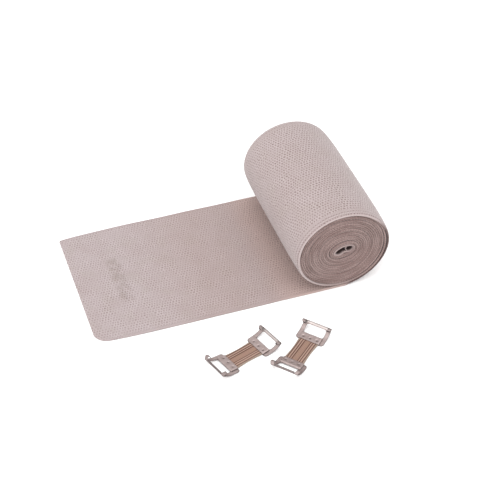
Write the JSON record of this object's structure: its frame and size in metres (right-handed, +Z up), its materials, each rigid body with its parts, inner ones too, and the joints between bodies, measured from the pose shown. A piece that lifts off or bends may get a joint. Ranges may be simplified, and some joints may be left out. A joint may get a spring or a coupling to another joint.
{
  "type": "short-stretch bandage with elastic clips",
  "caption": "Woven short-stretch compression bandage, wound into a roll with a flat free length, its metal-and-elastic fastening clips lying beside it.",
  "frame": {"origin": "on the surface it lies on, under the roll's axis and at the middle of the web's width", "axes": "+X from the free end towards the roll, +Y across the web away from the clips, +Z up"},
  "size_m": [0.186, 0.166, 0.0574],
  "materials": {
    "web_cloth": "plain woven cotton with elastic twist yarns",
    "clip_elastic": "ribbed elastic braid",
    "clip_metal": "satin stamped steel"
  },
  "bodies": {
    "root": {"web_flat_length": "web_cloth", "web_wound_turns": "web_cloth", "clip_a_elastic": "clip_elastic", "clip_a_left_plate": "clip_metal", "clip_a_right_plate": "clip_metal", "clip_b_elastic": "clip_elastic", "clip_b_left_plate": "clip_metal", "clip_b_right_plate": "clip_metal"}
  },
  "joints": []
}
